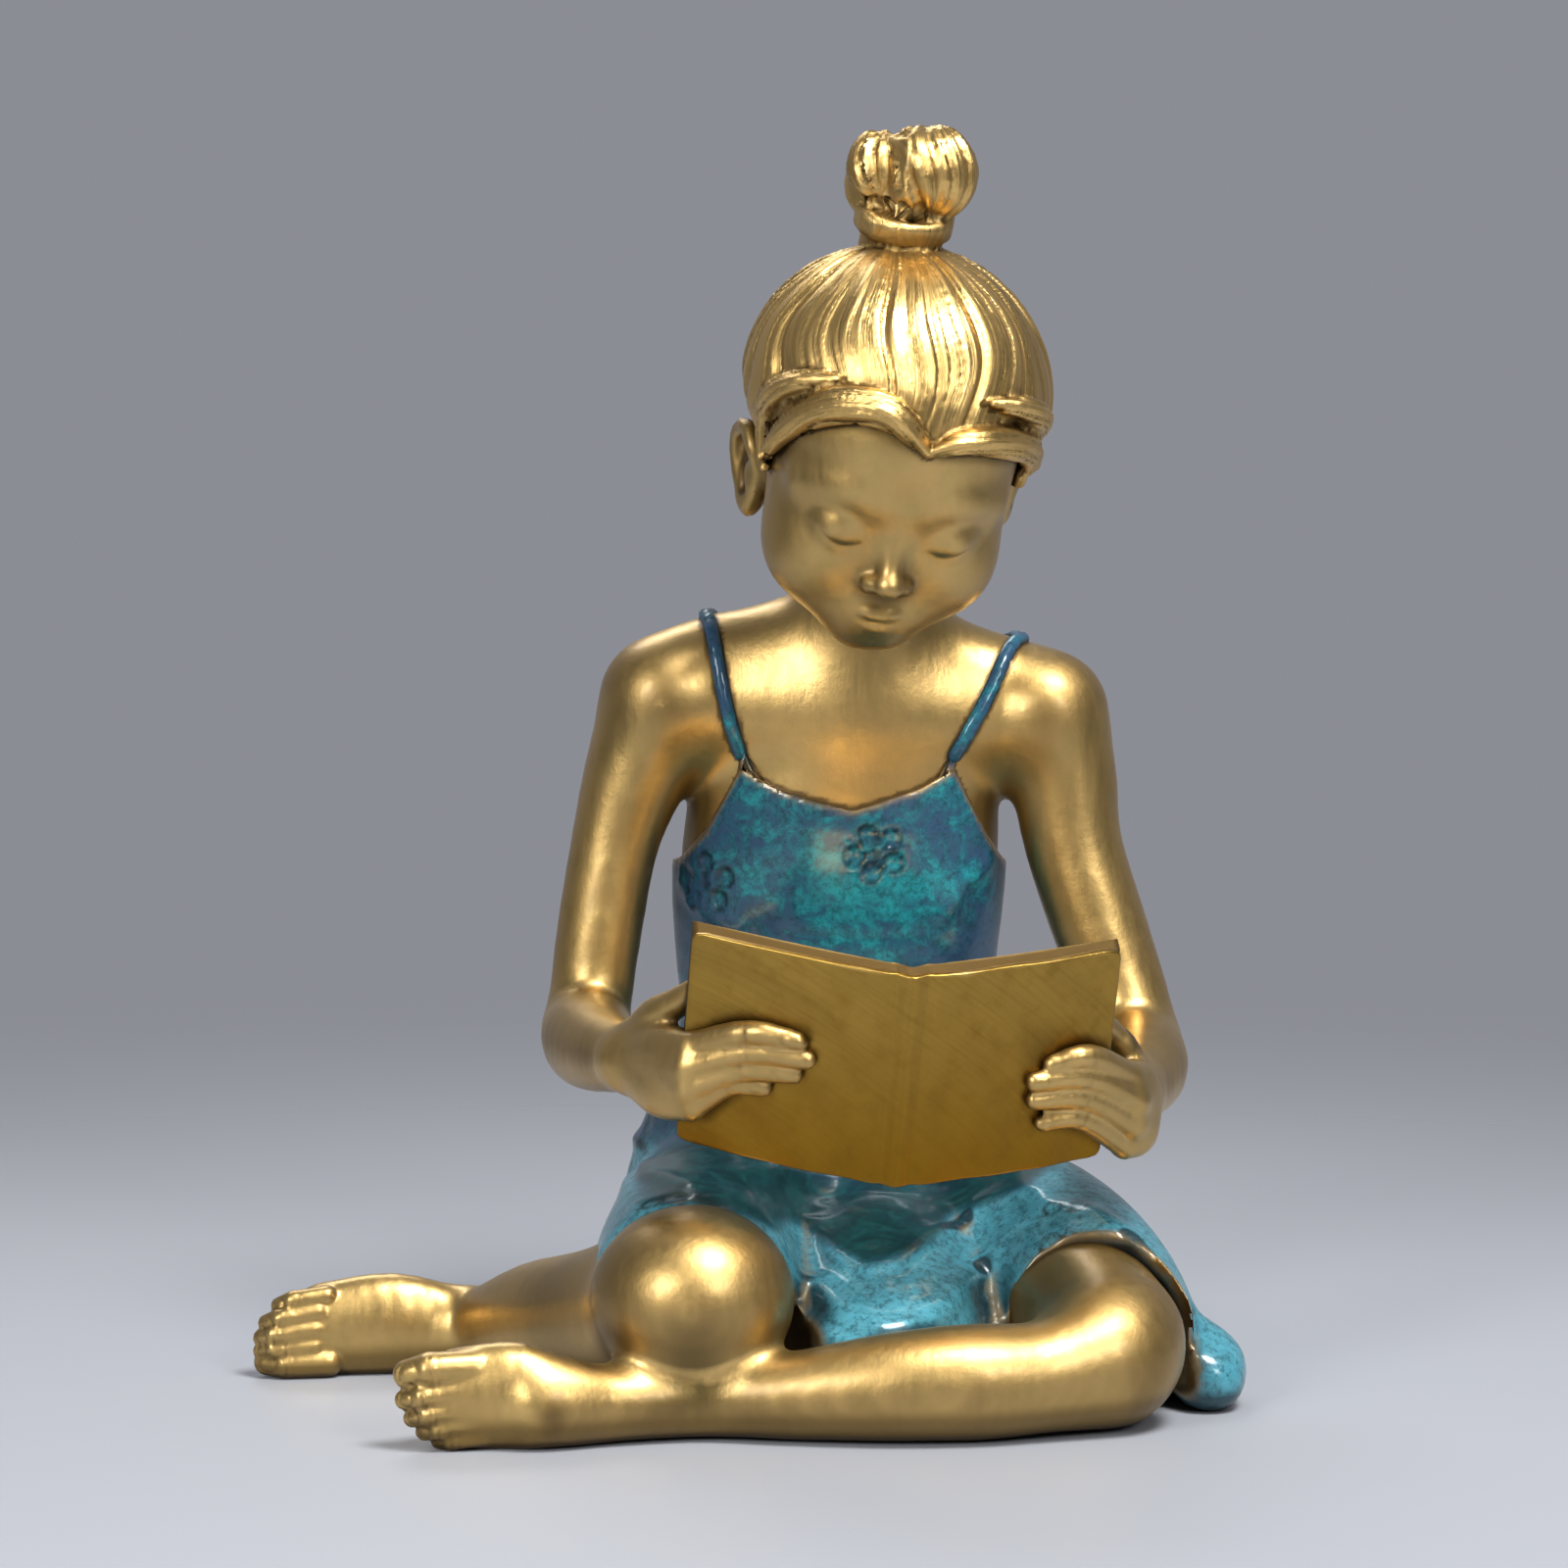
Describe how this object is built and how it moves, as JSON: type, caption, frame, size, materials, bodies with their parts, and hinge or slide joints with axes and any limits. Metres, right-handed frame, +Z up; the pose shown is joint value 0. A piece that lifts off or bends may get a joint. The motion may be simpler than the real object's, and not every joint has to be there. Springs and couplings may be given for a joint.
{
  "type": "reading child figurine",
  "caption": "Seated girl in a strap dress with a top bun, legs folded to one side, reading an open book held in both hands.",
  "frame": {"origin": "centre of the footprint, on the flat underside", "axes": "+Z up along the seated figure, the figure faces -Y, +X to the viewer's right; the origin is the bottom centre of the bounding box"},
  "size_m": [0.1632, 0.1252, 0.2071],
  "materials": {
    "brass": "satin golden brass with a blue-green patina on the dress"
  },
  "bodies": {
    "root": {"reading_girl_figurine": "brass"}
  },
  "joints": []
}
